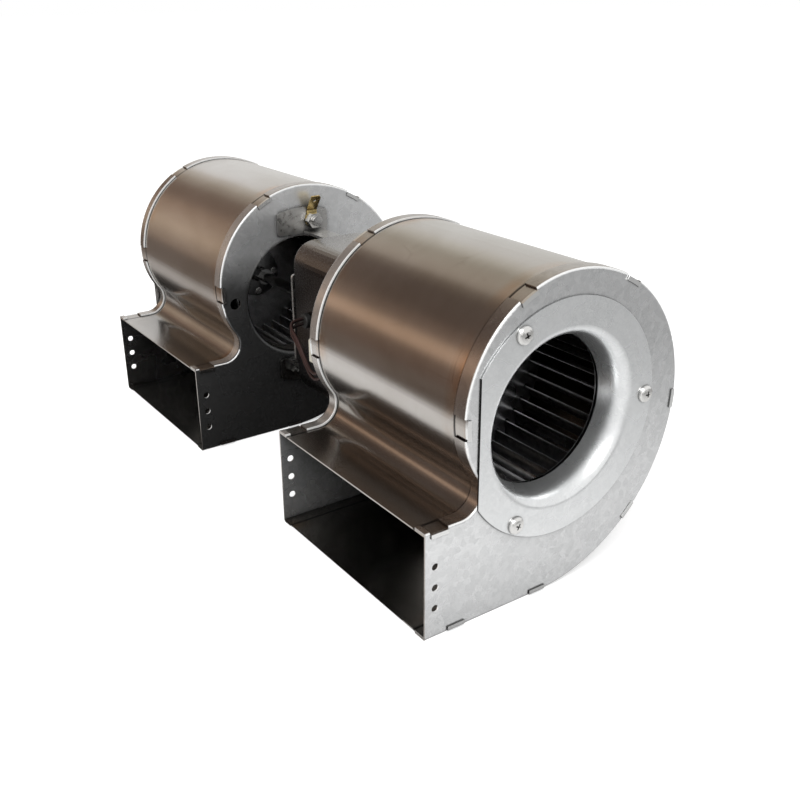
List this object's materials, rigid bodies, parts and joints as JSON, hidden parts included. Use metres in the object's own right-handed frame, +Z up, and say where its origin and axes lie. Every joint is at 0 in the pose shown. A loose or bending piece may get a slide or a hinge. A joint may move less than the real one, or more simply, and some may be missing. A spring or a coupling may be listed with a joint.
{
  "type": "centrifugal fan",
  "caption": "Twin centrifugal fan: two sheet-metal scroll housings with double-inlet forward-curved wheels on one shaft, driven by a motor held between them.",
  "frame": {"origin": "under the middle of the fan: halfway along it, halfway from the outlet mouths to the housings' backs, level with the flat bottoms", "axes": "+X along the shaft, -Y the way the air leaves the outlets, +Z up"},
  "size_m": [0.4302, 0.1758, 0.1827],
  "materials": {
    "wrapper_steel": "bare rolled steel strip with a warm brown cast and light scratches",
    "galvanised_plate": "galvanised sheet with a fine spangle",
    "inlet_ring_zinc": "drawn galvanised sheet, satin",
    "zinc_fasteners": "bright zinc plate",
    "black_fasteners": "black oxide",
    "wheel_steel": "thin galvanised strip, dulled",
    "hub_zinc": "turned and zinc plated",
    "arm_zinc": "bright zinc plated strip",
    "bronze": "sintered bronze",
    "motor_paint": "dark satin paint",
    "core_steel": "stacked electrical sheet",
    "copper_winding": "varnished copper wire",
    "bright_shaft": "ground steel",
    "brass_tab": "stamped brass",
    "grommet_rubber": "matt black",
    "lead_red": "dark red insulation",
    "terminal_nylon": "natural nylon"
  },
  "bodies": {
    "housings_and_motor": {"earth_tab": "brass_tab", "lead_grommet": "grommet_rubber", "left_bearing_bush": "bronze", "left_bearing_plate": "arm_zinc", "left_bearing_plate_screws": "zinc_fasteners", "left_inlet_ring": "inlet_ring_zinc", "left_inlet_ring_screws": "zinc_fasteners", "left_inner_side_plate": "galvanised_plate", "left_motor_arm_bottom": "arm_zinc", "left_motor_arm_top": "arm_zinc", "left_outer_side_plate": "galvanised_plate", "left_plate_bolts": "zinc_fasteners", "left_plate_nuts": "zinc_fasteners", "left_scroll_wrapper": "wrapper_steel", "motor_case_left": "motor_paint", "motor_case_right": "motor_paint", "motor_lead_lower": "lead_red", "motor_lead_upper": "lead_red", "motor_through_bolts": "zinc_fasteners", "motor_through_nuts": "zinc_fasteners", "right_bearing_bush": "bronze", "right_bearing_plate": "arm_zinc", "right_bearing_plate_screws": "zinc_fasteners", "right_inlet_ring": "inlet_ring_zinc", "right_inlet_ring_screws": "zinc_fasteners", "right_inner_side_plate": "galvanised_plate", "right_motor_arm_bottom": "arm_zinc", "right_motor_arm_top": "arm_zinc", "right_outer_side_plate": "galvanised_plate", "right_plate_bolts": "zinc_fasteners", "right_plate_nuts": "zinc_fasteners", "right_scroll_wrapper": "wrapper_steel", "stator_core": "core_steel", "stator_windings": "copper_winding", "terminal_block": "terminal_nylon", "terminal_block_clip": "zinc_fasteners", "terminal_screws": "brass_tab"},
    "rotor": {"left_hub_rivets": "zinc_fasteners", "left_hub_set_screw": "black_fasteners", "left_wheel_blades": "wheel_steel", "left_wheel_disc": "wheel_steel", "left_wheel_end_rings": "wheel_steel", "left_wheel_hub": "hub_zinc", "motor_shaft": "bright_shaft", "right_hub_rivets": "zinc_fasteners", "right_hub_set_screw": "black_fasteners", "right_wheel_blades": "wheel_steel", "right_wheel_disc": "wheel_steel", "right_wheel_end_rings": "wheel_steel", "right_wheel_hub": "hub_zinc", "rotor_core": "core_steel"}
  },
  "joints": [
    {"name": "rotor_spin", "type": "hinge", "parent": "housings_and_motor", "child": "rotor", "pos_m": [0, 0.0004, 0.1025], "axis": [1, 0, 0], "continuous": true}
  ]
}
